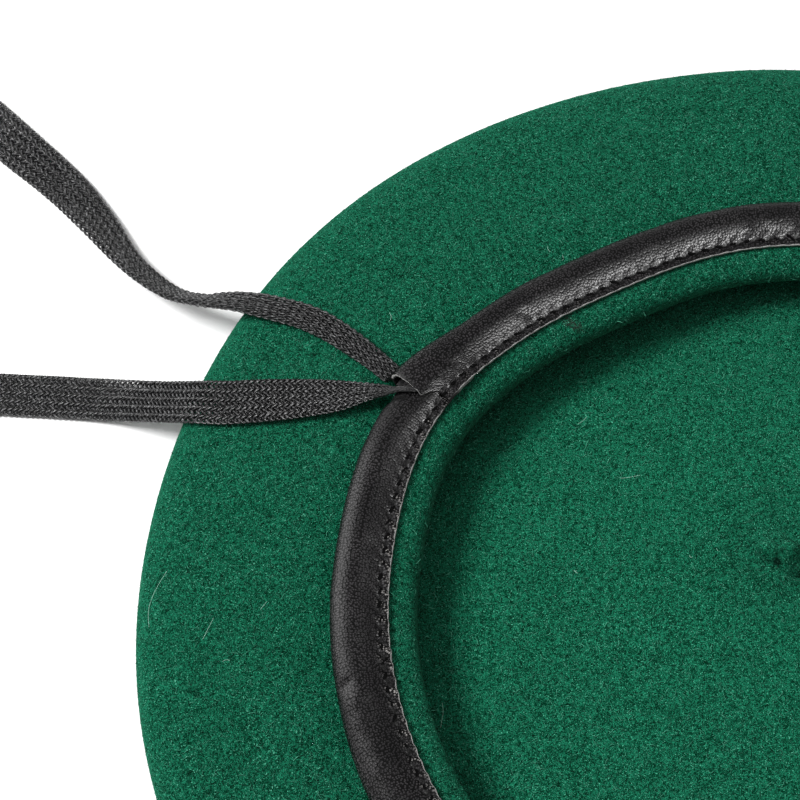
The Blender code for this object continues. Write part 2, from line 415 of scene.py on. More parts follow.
def flatTubePlace(turn, halfStraight, rise):
    # A place on the flattened tube's outline: across, up, and its outward direction
    perimeter = 4.0 * halfStraight + math.tau * rise
    walked = (turn % 1.0) * perimeter
    if walked < 2.0 * halfStraight:
        return walked - halfStraight, rise, 0.0, 1.0
    walked -= 2.0 * halfStraight
    if walked < math.pi * rise:
        bend = walked / rise
        return halfStraight + rise * math.sin(bend), rise * math.cos(bend), math.sin(bend), math.cos(bend)
    walked -= math.pi * rise
    if walked < 2.0 * halfStraight:
        return halfStraight - walked, -rise, 0.0, -1.0
    bend = (walked - 2.0 * halfStraight) / rise
    return -halfStraight - rise * math.sin(bend), -rise * math.cos(bend), -math.sin(bend), -math.cos(bend)


def makeYarnMaterial():
    material, tree, shader = newMaterial("braidYarn", {"Roughness": 0.34, "Specular IOR Level": 0.50})
    place = placeOn(tree)
    worn = spread(tree, noiseField(tree, place, 1500.0, 3.0, 0.6), 0.48, 0.72)
    patches = noiseField(tree, place, 110.0)
    colour = blend(tree, worn, braid["thread"], braid["threadWorn"])
    colour = blend(tree, spread(tree, patches, 0.3, 0.7, 0.0, 0.35), colour, braid["threadDull"])
    # Painted shade: the yarn is darkened towards its dark thread colour round the band's mouth
    away = distanceFrom(tree, place, braid["paintedMouthShade"])
    paintedMouthShade = spread(tree, away, 3.5 * mm, 9.0 * mm, 0.80, 0.0)
    colour = blend(tree, paintedMouthShade, colour, braid["thread"])
    tree.links.new(colour, shader.inputs["Base Color"])
    filaments = noiseField(tree, place, 5200.0, 2.0, 0.6, 0.6)
    addRelief(tree, shader, filaments, 0.06 * mm, 0.5)
    return material


def makeBraidedEnd(name, cadNode, end, material):
    # Forty yarns woven two over two under into a flat tube, along the free end's route
    samples = evenRows(smoothRows(end["route"]), 3, lambda row: braid["gap"])
    frames = cordFrames(samples)
    fullHalf = 0.5 * braid["width"] - braid["rise"]
    fullPerimeter = 4.0 * fullHalf + math.tau * braid["rise"]
    curve = newCurve(name, braid["yarnRadius"], 1)
    for hand in (1.0, -1.0):
        for yarn in range(braid["yarns"]):
            for number, knot in enumerate(addSpline(curve, len(samples))):
                share = samples[number][4]
                along = number * braid["gap"]
                turn = yarn / braid["yarns"] + hand * end["pace"] * along / fullPerimeter
                thick = braid["rise"] * min(1.0 + braid["fattened"] * max(0.0, 1.0 - share), 5.0 * share)
                halfStraight = max(0.0, 0.5 * braid["width"] * share - thick)
                across, up, outAcross, outUp = flatTubePlace(turn, halfStraight, thick)
                over = math.cos(math.pi * (turn * braid["yarns"] - 0.25))
                uneven = ripple(yarn * 3.7, along / mm * 0.35, hand * 5.0)
                drawn = smoothShare((braid["bunchedUnder"] - share) / 0.25)
                bunched = drawn * ripple(along / mm * 1.1, (turn % 1.0) * 7.0, 2.0)
                lift = braid["weave"] * min(1.0, 3.5 * share) * (hand * over + 0.35 * uneven + 0.9 * bunched)
                lift *= 1.0 - braid["edgeCalm"] * abs(outAcross)
                middle, sideways, out = frames[number]
                place = middle + sideways * (across + outAcross * lift) + out * (up + outUp * lift)
                knot.co = (*place, 1.0)
                swell = 1.0 - braid["plump"] * (1.0 - hand * over)
                knot.radius = min(1.0, 0.35 + 0.8 * share) * swell
    piece = settle(addPiece(name, curve, "braid", material))
    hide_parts(cadNode)


yarnMaterial = makeYarnMaterial()
makeBraidedEnd("drawstringUpperEnd", "drawstring_upper_end", upperEnd, yarnMaterial)
makeBraidedEnd("drawstringLowerEnd", "drawstring_lower_end", lowerEnd, yarnMaterial)
print("drawstring ends braided")


# Outlines that the felt and the band share

openingCentre = (7.1 * mm, -9.0 * mm)
lipWave = {"height": 0.3 * mm, "lobes": 3}
rimDents = [  # angle and half width in degrees, how far it stands out in mm
    (181.0, 17.0, -0.9),
    (113.0, 18.0, -1.0),
    (150.0, 14.0, 0.6),
    (45.0, 30.0, -0.7),
    (-75.0, 36.0, 0.5),
]
openingDents = [
    (160.0, 15.0, 2.4),
    (125.0, 13.0, -1.4),
    (90.0, 22.0, 2.4),
    (30.0, 26.0, -1.2),
    (-60.0, 34.0, 1.4),
    (-140.0, 28.0, -0.6),
]


def outlineSwell(dents, angle):
    swell = 0.0
    for middle, halfWidth, depth in dents:
        turn = math.remainder(angle - math.radians(middle), math.tau)
        swell += depth * mm * hump(turn, math.radians(halfWidth))
    return swell


def lobeWave(angle, first, second):
    return 0.5 + 0.28 * math.sin(first * angle + 0.8) + 0.22 * math.sin(second * angle + 2.1)


def openingPoint(angle, radius, height, follow=1.0):
    reach = radius + follow * outlineSwell(openingDents, angle)
    lift = follow * lipWave["height"] * math.sin(lipWave["lobes"] * angle)
    return Vector((
        follow * openingCentre[0] + reach * math.cos(angle),
        follow * openingCentre[1] + reach * math.sin(angle),
        height + lift,
    ))


# Felt shell

felt = {
    "wall": 2.0 * mm,
    "steps": 200,
    "crownWave": 1.5 * mm,
    "flangeWave": 0.5 * mm,
    "softness": 0.28 * mm,  # slow unevenness of the felt
    "relief": 0.22 * mm,
    "flangePaintedShade": 0.84,  # painted shade: how light the flange's colour is kept beside the crown
    # painted shade on the lip's colour
    "lipPaintedShade": 0.98,
    "deep": rgb(0.0002, 0.0190, 0.0085),
    "ground": rgb(0.0008, 0.0520, 0.0235),
    "strand": rgb(0.0150, 0.2130, 0.1150),
}
nap = {
    "templates": 9,
    "length": 1.70 * mm,
    "radius": 0.060 * mm,
    "seed": 11,
    "rimFrom": 134.0,  # mm from the middle
    "dark": rgb(0.0004, 0.0310, 0.0135),
    "middle": rgb(0.0015, 0.1020, 0.0510),
    "light": rgb(0.0950, 0.4200, 0.2750),
}
feltStrands = [  # scale per metre, half width as a share of the noise, turn in radians
    (560.0, 0.040, 0.4),
    (730.0, 0.048, 1.7),
    (950.0, 0.056, 2.9),
    (1250.0, 0.064, 4.4),
]
feltGrains = {  # scale per metre, detail, roughness, and how much each counts in the felt's depth
    "grain": (4300.0, 1.0, 0.7, 1.30),
    "tuft": (1700.0, 2.0, 0.6, 0.60),
    "mottle": (150.0, 3.0, 0.6, 0.50),
    "clouds": (32.0, 2.0, 0.5, 0.35),
}
feltRings = [  # radius, height in mm, then shares of rim, opening, crown waves and flange waves
    (0.0, 0.0, 0.0, 0.0, 0.0, 0.0),
    (16.0, 0.0, 0.0, 0.0, 0.0, 0.0),
    (36.0, 0.0, 0.0, 0.0, 0.0, 0.0),
    (72.0, 0.0, 0.0, 0.0, 0.0, 0.0),
    (88.0, 0.2, 0.1, 0.0, 0.7, 0.0),
    (103.0, 0.3, 0.3, 0.0, 1.0, 0.0),
    (117.0, 0.4, 0.6, 0.0, 0.8, 0.0),
    (127.0, 1.0, 0.9, 0.0, 0.3, 0.0),
    (134.0, 2.6, 1.0, 0.0, 0.0, 0.0),
    (138.3, 5.0, 1.0, 0.0, 0.0, 0.0),
    (140.0, 7.6, 1.0, 0.0, 0.0, 0.0),
    (139.0, 10.2, 1.0, 0.0, 0.0, 0.0),
    (135.9, 12.2, 1.0, 0.0, 0.0, 0.2),
    (130.0, 13.4, 0.8, 0.05, 0.0, 0.6),
    (120.0, 13.7, 0.5, 0.25, 0.0, 1.0),
    (111.0, 13.5, 0.1, 0.6, 0.0, 0.8),
    (105.0, 12.7, 0.1, 0.8, 0.0, 0.4),
    (100.0, 11.4, 0.0, 0.9, 0.0, 0.2),
    (95.0, 11.2, 0.0, 1.0, 0.0, 0.0),
    (89.0, 12.7, 0.0, 1.0, 0.0, 0.0),
    (85.6, 13.9, 0.0, 1.0, 0.0, 0.0),
    (83.6, 14.5, 0.0, 1.0, 0.0, 0.0),
    (83.4, 15.5, 0.0, 1.0, 0.0, 0.0),
    (85.2, 16.4, 0.0, 1.0, 0.0, 0.0),
    (88.6, 17.1, 0.0, 1.0, 0.0, 0.0),
    (92.5, 17.8, 0.0, 1.0, 0.0, 0.0),
]
smudge = {  # a brownish mark on the lip
    "place": (-51.4 * mm, 51.7 * mm, 18.6 * mm),
    "size": (3.4 * mm, 1.5 * mm, 4.0 * mm),
    "turn": -0.36,
    "colour": rgb(0.0300, 0.0330, 0.0290),
}
crownKnob = {
    "place": (1.7 * mm, 8.4 * mm),
    "base": 0.7 * mm,
    "paintedShadeSpots": [  # painted shade in the knob's hollows, and painted light on its lobes where below nought: place and half width in mm, how much darker the felt is painted there
        (1.7, 6.6, 1.00, 0.85),
        (2.3, 8.7, 0.75, 0.60),
        (-2.5, 8.1, 1.00, 0.50),
        (-1.3, 6.6, 0.80, 0.40),
        (5.8, 5.1, 2.10, 0.55),
        (-0.9, 9.3, 1.90, -0.30),
        (3.4, 9.8, 1.20, -0.30),
    ],
    "lobes": [  # place in mm, half width and height in mm
        (-0.6, 9.1, 1.70, 2.1),
        (3.8, 9.5, 1.45, 2.3),
        (1.2, 11.8, 1.20, 1.0),
    ],
}


def ringGap(row):
    # Rings lie close together round the knob and on the tight bends
    radius, height = row[0], row[1]
    if radius < 16.0:
        return 0.62
    if radius < 126.0 and height < 5.0:
        return 2.6
    if radius > 86.0 and radius < 132.0:
        return 2.2
    return 0.95


def knobLift(point):
    # The gathered knob in the middle of the crown, seen from inside
    away = math.dist(point[:2], crownKnob["place"])
    lift = crownKnob["base"] * hump(away, 5.5 * mm)
    for x, y, halfWidth, height in crownKnob["lobes"]:
        away = math.dist(point[:2], (x * mm, y * mm))
        creased = 1.0 + 0.35 * ripple(point.x / mm * 0.8, point.y / mm * 0.8, 4.0)
        lift += height * mm * creased * hump(away, halfWidth * mm)
    return lift


def feltPoint(row, angle):
    radius, height, rim, opening, crown, flange = row
    point = openingPoint(angle, radius * mm + rim * outlineSwell(rimDents, angle), height * mm, opening)
    point.z += crown * felt["crownWave"] * lobeWave(angle, 3, 5)
    point.z -= flange * felt["flangeWave"] * lobeWave(angle, 2, 5)
    x, y = point.x / mm, point.y / mm
    slow = 0.5 + 0.35 * ripple(x * 0.035, y * 0.035, 1.0) + 0.25 * ripple(x * 0.11, y * 0.11, 7.0)
    point.z += felt["softness"] * max(0.0, slow)
    if radius < 40.0 and height < 5.0:
        point.z += max(0.0, knobLift(point))
    return point


def paintedFeltShade(tree, place):
    # Painted shade: the flange and lip are painted a little darker than the crown, the felt round the knob is
    # painted darker, its hollows darker still, and two of its lobes lighter as painted light
    height = addNode(tree, "ShaderNodeSeparateXYZ", {"Vector": place}).outputs["Z"]
    # Painted shade: the felt's colour is darkened round the knob, where its creases throw shade
    knob = (*crownKnob["place"], 2.0 * mm)
    shade = spread(tree, distanceFrom(tree, place, knob), 2.0 * mm, 24.0 * mm, 0.80, 1.0)
    level = addNode(tree, "ShaderNodeVectorMath", {0: place, 1: (1.0, 1.0, 0.0)}, operation="MULTIPLY")
    for x, y, halfWidth, darker in crownKnob["paintedShadeSpots"]:
        away = distanceFrom(tree, level.outputs["Vector"], (x * mm, y * mm, 0.0))
        spotShade = spread(tree, away, 0.4 * halfWidth * mm, 1.5 * halfWidth * mm, 1.0 - darker, 1.0)
        shade = calc(tree, "MULTIPLY", shade, spotShade)
    # Painted shade on the higher felt, the flange and then the lip
    shade = calc(tree, "MULTIPLY", shade, spread(tree, height, 4.0 * mm, 9.0 * mm, 1.0, felt["flangePaintedShade"]))
    return calc(tree, "MULTIPLY", shade, spread(tree, height, 14.0 * mm, 15.5 * mm, 1.0, felt["lipPaintedShade"]))


def makeFeltMaterial():
    # Tangled strands over a grainy ground, in colour and relief
    material, tree, shader = newMaterial("greenFelt", {
        "Roughness": 1.0, "Specular IOR Level": 0.02,
        "Sheen Weight": 0.25, "Sheen Roughness": 0.35, "Sheen Tint": rgb(0.12, 0.75, 0.45),
    })
    place = placeOn(tree)
    strands = None
    for scale, halfWidth, turn in feltStrands:
        turned = addNode(tree, "ShaderNodeMapping", {
            "Vector": place, "Location": (turn, -turn, turn), "Rotation": (turn, 0.6 * turn, 1.3 * turn),
        }).outputs["Vector"]
        field = noiseField(tree, turned, scale, 1.0, 0.5, 0.5)
        away = calc(tree, "ABSOLUTE", calc(tree, "SUBTRACT", field, 0.5))
        line = spread(tree, away, 0.2 * halfWidth, halfWidth, 1.0, 0.0)
        strands = line if strands is None else calc(tree, "MAXIMUM", strands, line)
    fields = {}
    depth = 0.0
    for name, (scale, detail, rough, weight) in feltGrains.items():
        fields[name] = noiseField(tree, place, scale, detail, rough)
        depth = calc(tree, "ADD", depth, calc(tree, "MULTIPLY", fields[name], weight))
    colour = blend(tree, spread(tree, depth, 1.00, 1.70), felt["deep"], felt["ground"])
    lit = calc(tree, "MULTIPLY", strands, spread(tree, fields["grain"], 0.36, 0.62, 0.10, 0.95))
    colour = blend(tree, lit, colour, felt["strand"])
    across = addNode(tree, "ShaderNodeMapping", {
        "Vector": place, "Location": smudge["place"],
        "Rotation": (0.0, 0.0, smudge["turn"]), "Scale": smudge["size"],
    }, vector_type="TEXTURE").outputs["Vector"]
    away = addNode(tree, "ShaderNodeVectorMath", {0: across}, operation="LENGTH").outputs["Value"]
    patchy = spread(tree, fields["tuft"], 0.35, 0.6)
    soiled = calc(tree, "MULTIPLY", spread(tree, away, 0.5, 1.2, 0.85, 0.0), patchy)
    colour = blend(tree, soiled, colour, smudge["colour"])
    specks = spread(tree, noiseField(tree, place, 3300.0, 0.0), 0.68, 0.80)
    colour = blend(tree, specks, colour, nap["light"])
    # Painted shade and painted light multiplied into the felt's colour
    colour = blend(tree, paintedFeltShade(tree, place), rgb(0.0, 0.0, 0.0), colour)
    tree.links.new(colour, shader.inputs["Base Color"])
    height = calc(tree, "ADD", calc(tree, "MULTIPLY", strands, 0.5), calc(tree, "MULTIPLY", depth, 0.8))
    addRelief(tree, shader, height, felt["relief"])
    return material


def makeFeltBody(material):
    rows = evenRows(smoothRows(feltRings), 2, ringGap)
    builder = wrapped(felt["steps"], len(rows) - 1, lambda number, angle: feltPoint(rows[number], angle))
    if min(builder.faces, key=lambda face: face.calc_center_median().z).normal.z > 0.0:
        bmesh.ops.reverse_faces(builder, faces=builder.faces)
    body = addPiece("feltBody", meshFrom(builder, "feltBody"), "felt", material)
    wall = body.modifiers.new("wall", "SOLIDIFY")
    wall.thickness = felt["wall"]
    wall.offset = -1.0
    wall.use_even_offset = True
    settle(body)
    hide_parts("felt_body")
    return body


feltMaterial = makeFeltMaterial()
feltBody = makeFeltBody(feltMaterial)
print("felt body made, triangles", 2 * len(feltBody.data.polygons))


# Leather band

band = {
    "wall": 0.65 * mm,
    "start": math.radians(151.5),
    "end": math.radians(517.6),
    "startStretch": math.radians(17.0),
    "endStretch": math.radians(13.0),
    "columns": 870,
    "stitchAcross": 2.0,  # mm from the raw edge to the stitches
    "stitches": 174,
    "groove": 0.80,  # mm deep, at the stitch holes
    "pucker": 0.05,  # mm high, outside the stitches
    "edgePucker": 0.42,  # mm high, between the stitches and the raw edge
    "rawMargin": 0.06,  # mm of the upper face that the pale cut edge takes in
    "slant": 0.30,  # stitches that a pucker leans along for each mm across
    "curl": 0.18,  # mm that the raw edge turns up
    "radius": 90.0,  # mm, on which lengths along the band are measured
    "grainRadius": 94.0,  # mm, on which the grain is laid out evenly
    "grainScale": 1.70,  # pebbles for each mm
    "grainUneven": 0.80,
    "relief": 0.078 * mm,
    "pitDull": 0.09,  # how much rougher the leather is between its pebbles
    "shadeDull": 0.20,  # and where shade is painted, at the stitch holes and under the cord and the joint
    # near black, painted as shade in the pebbles' pits, the stitch holes and the dark places under the cord
    # and the joint
    "pit": rgb(0.0004, 0.0004, 0.0005),
    "dark": rgb(0.0250, 0.0237, 0.0253),
    "worn": rgb(0.0410, 0.0388, 0.0406),
    # pale grey, painted as a highlight on the margin's folds
    "paintedFoldLight": rgb(0.2700, 0.2600, 0.2500),
    "foldsAt": math.radians(194.0),  # where the margin's folds stand highest and are painted palest
    "foldsHalf": math.radians(36.0),
    "cut": rgb(0.360, 0.358, 0.350),
    "cutDark": rgb(0.080, 0.078, 0.076),
    "cutShadow": rgb(0.002, 0.002, 0.002),
}
bandCut = [  # mm from the raw edge, degrees that the upper end reaches on there
    (0.0, -0.6),
    (3.5, -0.9),
    (5.2, 0.0),
    (6.0, 1.1),
    (7.6, 0.7),
    (10.2, 0.3),
    (12.6, 0.0),
    (40.0, 0.0),
]
bandSection = [  # radius, height in mm, and how far the start and the end stand out there
    (87.0, 19.9, 0.0, 1.6),
    (88.9, 20.3, 0.0, 1.5),
    (90.4, 20.6, 0.6, 1.4),
    (91.9, 21.4, 0.2, 1.2),
    (94.2, 22.1, -0.6, 1.0),
    (96.8, 21.7, -0.7, 1.3),
    (98.8, 20.4, -0.7, 2.3),
    (99.5, 18.7, -0.6, 2.5),
    (98.8, 17.2, -0.4, 1.6),
    (96.8, 16.4, 0.0, 1.1),
    (94.4, 16.3, 0.0, 1.1),
    (91.6, 16.3, 0.0, 1.1),
    (89.4, 16.2, 0.0, 1.1),
]
cutShadows = [  # where the upper end's cut edge is dark: place and reach
    ((-0.0889, 0.0312, 0.0178), 2.5 * mm),
    ((-0.0765, 0.0272, 0.0205), 4.4 * mm),
    ((-0.0797, 0.0264, 0.0213), 2.7 * mm),
]
bandCreases = [  # angle in degrees, mm from the raw edge, half width along, half length across, depth in mm
    (104.0, 6.5, 1.3, 3.0, -0.35),
    (101.5, 7.0, 1.2, 2.6, 0.25),
    (97.5, 6.0, 1.5, 3.2, -0.40),
    (94.5, 7.5, 1.3, 2.4, 0.25),
    (90.0, 5.5, 1.6, 2.5, -0.30),
    (139.0, 5.0, 1.4, 2.2, -0.25),
    (160.0, 12.0, 1.8, 3.6, -0.70),
    (155.5, 6.0, 1.2, 1.6, 0.20),
    (152.5, 7.0, 1.0, 1.8, -0.30),
    (196.0, 6.0, 2.0, 3.0, -0.10),
    (201.5, 10.8, 1.1, 1.8, -0.45),
    (203.5, 8.0, 1.7, 3.0, 0.30),
    (208.0, 8.0, 2.4, 3.4, -0.22),
    (213.0, 7.6, 2.2, 3.0, 0.28),
    (217.5, 7.0, 1.8, 2.6, 0.25),
    (182.0, 5.5, 1.6, 2.0, -0.10),
    (240.0, 7.0, 2.4, 3.4, -0.35),
    (262.0, 6.0, 2.0, 3.0, 0.25),
    (300.0, 7.0, 2.4, 3.2, -0.35),
    (322.0, 6.0, 2.0, 3.0, -0.30),
    (355.0, 6.5, 2.2, 3.0, -0.35),
    (20.0, 6.0, 1.8, 3.0, 0.25),
    (48.0, 7.0, 2.0, 3.0, -0.35),
    (68.0, 6.0, 1.8, 2.6, -0.25),
]
bandShadows = [  # dark places under the lower cord and the joint, set out alike; the last number is how dark
    (159.8, 10.6, 1.4, 3.0, 0.9),
    (158.5, 5.6, 0.9, 1.6, 0.8),
    (157.5, 3.9, 0.9, 1.2, 0.8),
]


def bandGap(row):
    # Rows lie close together at the raw edge and over the stitched margin
    if row[1] > 19.5 and row[0] < 87.5:
        return 0.13
    if row[1] > 19.5 and row[0] < 94.5:
        return 0.55
    return 0.95


def bandRows():
    # The section set out closely at the stitched margin, with each point's way out and place across
    rows = evenRows(smoothRows(bandSection), 2, bandGap)
    made = []
    across = 0.0
    for number, row in enumerate(rows):
        before = rows[max(number - 1, 0)]
        after = rows[min(number + 1, len(rows) - 1)]
        along = Vector((after[0] - before[0], after[1] - before[1])).normalized()
        if number:
            across += math.dist(rows[number - 1][:2], row[:2])
        made.append((row, Vector((-along.y, along.x)), across))
    return made


def stitchTurns(angle):
    # How many stitches lie between the band's start and an angle
    return (angle - band["start"]) / (band["end"] - band["start"]) * band["stitches"]


def leatherLift(across, angle):
    # How far the leather stands out of its plain section, in mm
    along = (angle - band["start"]) * band["radius"]
    fromStitch = across - band["stitchAcross"]
    puff = -math.cos(math.tau * (stitchTurns(angle) + band["slant"] * fromStitch))
    vary = 0.8 + 0.8 * ripple(along * 0.17, 3.0)
    lift = -band["groove"] * hump(fromStitch, 0.65) * (0.6 - 0.4 * puff)
    lift += band["pucker"] * vary * puff * hump(fromStitch - 1.5, 1.3)
    if fromStitch < 0.0:
        fromFolds = math.remainder(angle - band["foldsAt"], math.tau)
        here = 0.35 + 0.65 * hump(fromFolds, 1.2 * band["foldsHalf"])
        lift += here * band["edgePucker"] * vary * puff * smoothShare(-fromStitch / 1.1)
        lift += band["curl"] * smoothShare((-fromStitch - 0.8) / 1.4) * (0.7 + 0.8 * ripple(along * 0.4, 9.0))
    top = smoothShare((across - 3.5) / 2.0) * smoothShare((16.5 - across) / 3.0)
    slow = 0.26 * ripple(along * 0.045, across * 0.06, 2.0)
    lift += top * (slow + 0.10 * ripple(along * 0.16, across * 0.12, 5.0))
    for middle, place, halfAlong, halfAcross, depth in bandCreases:
        turn = math.remainder(angle - math.radians(middle), math.tau) * band["radius"]
        if abs(turn) < 3.0 * halfAlong + 3.0:
            slant = turn - 0.35 * (across - place)
            lift += depth * hump(slant, halfAlong) * hump(across - place, halfAcross)
    return lift


def edgeTone(across, angle):
    # Below nought where shade is painted, in and beside the stitch holes and at the places under the cord and
    # the joint; above nought where a highlight is painted on the margin's folds
    turns = stitchTurns(angle)
    fromStitch = across - band["stitchAcross"]
    ragged = ripple(angle * 34.0, 12.0)
    # Painted shade in and beside the stitch holes
    paintedShade = hump(fromStitch + 0.2 + 0.9 * ripple(angle * 31.0, 15.0), 0.85 + 0.5 * ragged)
    paintedShade *= 0.5 + 0.5 * math.cos(math.tau * (turns + 0.3 * ragged))
    # Painted highlight on the margin's folds, strongest on the band's left side
    fold = 0.5 - 0.5 * math.cos(math.tau * (turns + 0.1 + band["slant"] * fromStitch))
    here = hump(math.remainder(angle - band["foldsAt"], math.tau), band["foldsHalf"])
    uneven = 0.9 + 1.1 * ripple(angle * 28.0, across * 0.35, 6.0)
    paintedFoldLight = smoothShare((3.9 - across) / 2.2) * (0.28 + 0.72 * here) * (0.18 + uneven * fold * fold)
    shadow = 0.0
    for middle, place, halfAlong, halfAcross, depth in bandShadows:
        turn = (angle - math.radians(middle)) * band["radius"]
        shadow += depth * hump(turn, halfAlong) * hump(across - place, halfAcross)
    return paintedFoldLight - 1.4 * paintedShade - shadow


def reachOn(across):
    # How far the upper end's cut edge lies past its straight line
    for (lower, first), (upper, second) in zip(bandCut, bandCut[1:]):
        if across <= upper:
            return math.radians(first + (second - first) * smoothShare((across - lower) / (upper - lower)))
    return 0.0


def bandPoint(row, out, across, angle, detail=1.0):
    startShare = smoothShare(1.0 - (angle - band["start"]) / band["startStretch"])
    endShare = smoothShare(1.0 - (band["end"] - angle) / band["endStretch"])
    shift = row[2] * startShare + row[3] * endShare
    if detail:
        shift += detail * leatherLift(across, angle)
    return openingPoint(angle, (row[0] + out.x * shift) * mm, (row[1] + out.y * shift) * mm)


def makeLeatherMaterial():
    # Pebbles laid out along the band, with painted shade in their pits, at the stitch holes and under the
    # cord and the joint, and a painted highlight on the margin's folds
    material, tree, shader = newMaterial("blackLeather", {"Specular IOR Level": 0.22})
    place = placeOn(tree)
    cells = addNode(tree, "ShaderNodeTexVoronoi", {
        "Vector": ownAttribute(tree, "unrolled", "Vector"),
        "Scale": band["grainScale"], "Randomness": band["grainUneven"],
    }, feature="F1", voronoi_dimensions="2D").outputs["Distance"]
    domes = calc(tree, "SUBTRACT", 1.0, calc(tree, "MULTIPLY", cells, cells))
    fine = noiseField(tree, place, 5200.0, 1.0, 0.6)
    slow = noiseField(tree, place, 90.0, 3.0, 0.55)
    tops = spread(tree, cells, 0.20, 0.40, 1.0, 0.0)
    colour = blend(tree, spread(tree, slow, 0.40, 0.70), band["dark"], band["worn"])
    tone = ownAttribute(tree, "edgeTone", "Fac")
    # Painted highlight on the margin's folds
    colour = blend(tree, spread(tree, tone, 0.05, 1.0), colour, band["paintedFoldLight"])
    # Painted shade: the pits between the pebbles are painted near black
    colour = blend(tree, tops, band["pit"], colour)
    # Painted shade where the edge shading is below nought: stitch holes and the places under the cord and the
    # joint
    paintedShade = spread(tree, tone, -0.25, -0.85)
    colour = blend(tree, paintedShade, colour, band["pit"])
    tree.links.new(colour, shader.inputs["Base Color"])
    gloss = spread(tree, slow, 0.3, 0.7, 0.23, 0.29)
    gloss = calc(tree, "ADD", gloss, spread(tree, tops, 0.0, 1.0, band["pitDull"], 0.0))
    gloss = calc(tree, "ADD", gloss, calc(tree, "MULTIPLY", paintedShade, band["shadeDull"]))
    tree.links.new(gloss, shader.inputs["Roughness"])
    height = calc(tree, "ADD", domes, calc(tree, "MULTIPLY", fine, 0.10))
    addRelief(tree, shader, height, band["relief"])
    return material


def makeCutMaterial():
    # The pale raw edge of the leather, dark where the upper end lies over it
    material, tree, shader = newMaterial("cutLeather", {"Roughness": 0.85, "Specular IOR Level": 0.2})
    place = placeOn(tree)
    field = noiseField(tree, place, 2400.0, 3.0, 0.65)
    pale = spread(tree, field, 0.32, 0.56, 0.20, 1.0)
    colour = blend(tree, pale, band["cutDark"], band["cut"])
    for spot, reach in cutShadows:
        shadow = spread(tree, distanceFrom(tree, place, spot), 0.6 * reach, reach, 1.0, 0.0)
        colour = blend(tree, shadow, colour, band["cutShadow"])
    tree.links.new(colour, shader.inputs["Base Color"])
    addRelief(tree, shader, field, 0.10 * mm, 0.8)
    return material


def makeLeatherBand(leather, cut):
    rows = bandRows()
    builder = bmesh.new()
    last = len(rows) - 1
    acrossLayer = builder.verts.layers.float.new("across")
    toneLayer = builder.verts.layers.float.new("edgeTone")
    unrolledLayer = builder.verts.layers.float_vector.new("unrolled")  # mm along and across, for the grain
    bmesh.ops.create_grid(builder, x_segments=band["columns"], y_segments=last, size=0.5)
    for vert in builder.verts:
        row, out, across = rows[round((vert.co.y + 0.5) * last)]
        vert[acrossLayer] = across
        share = vert.co.x + 0.5
        angle = band["start"] + (band["end"] - band["start"]) * share
        vert[toneLayer] = edgeTone(across, angle)
        vert[unrolledLayer] = Vector((angle * band["grainRadius"], across, 0.0))
        angle += reachOn(across) * smoothShare((share - 0.96) / 0.04)
        vert.co = bandPoint(row, out, across, angle)
    bmesh.ops.recalc_face_normals(builder, faces=builder.faces)
    for face in builder.faces:
        if min(vert[acrossLayer] for vert in face.verts) < band["rawMargin"]:
            face.material_index = 1
    builder.verts.layers.float.remove(acrossLayer)
    middle = openingPoint(math.radians(300.0), 94.0 * mm, 19.0 * mm)
    nearest = min(builder.faces, key=lambda face: (face.calc_center_median() - middle).length)
    if nearest.normal.dot(nearest.calc_center_median() - middle) < 0.0:
        bmesh.ops.reverse_faces(builder, faces=builder.faces)
    piece = addPiece("leatherBand", meshFrom(builder, "leatherBand"), "leather", leather, cut)
    wall = piece.modifiers.new("wall", "SOLIDIFY")
    wall.thickness = band["wall"]
    wall.offset = 0.0
    wall.material_offset_rim = 1
    settle(piece)
    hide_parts("leather_band")
    return piece


leatherBand = makeLeatherBand(makeLeatherMaterial(), makeCutMaterial())
print("leather band folded, triangles", 2 * len(leatherBand.data.polygons))


# Stitches along the band's margin

stitch = {
    "length": 1.8 * mm,
    "radius": 0.32 * mm,
    "sink": 0.20 * mm,
    "slant": 0.30,  # how far a stitch turns out of the seam's line
    "sides": 7,
    "rings": 6,
    "stray": 0.7 * mm,  # how far a stitch strays sideways
    "colour": rgb(0.0010, 0.0010, 0.0011),
}


def stitchPoint(row, turn):
    # A round stitch of radius 1, from one end to the other along Z
    polar = math.pi * row / stitch["rings"]
    return math.sin(polar) * math.sin(turn), math.sin(polar) * math.cos(turn), -math.cos(polar)


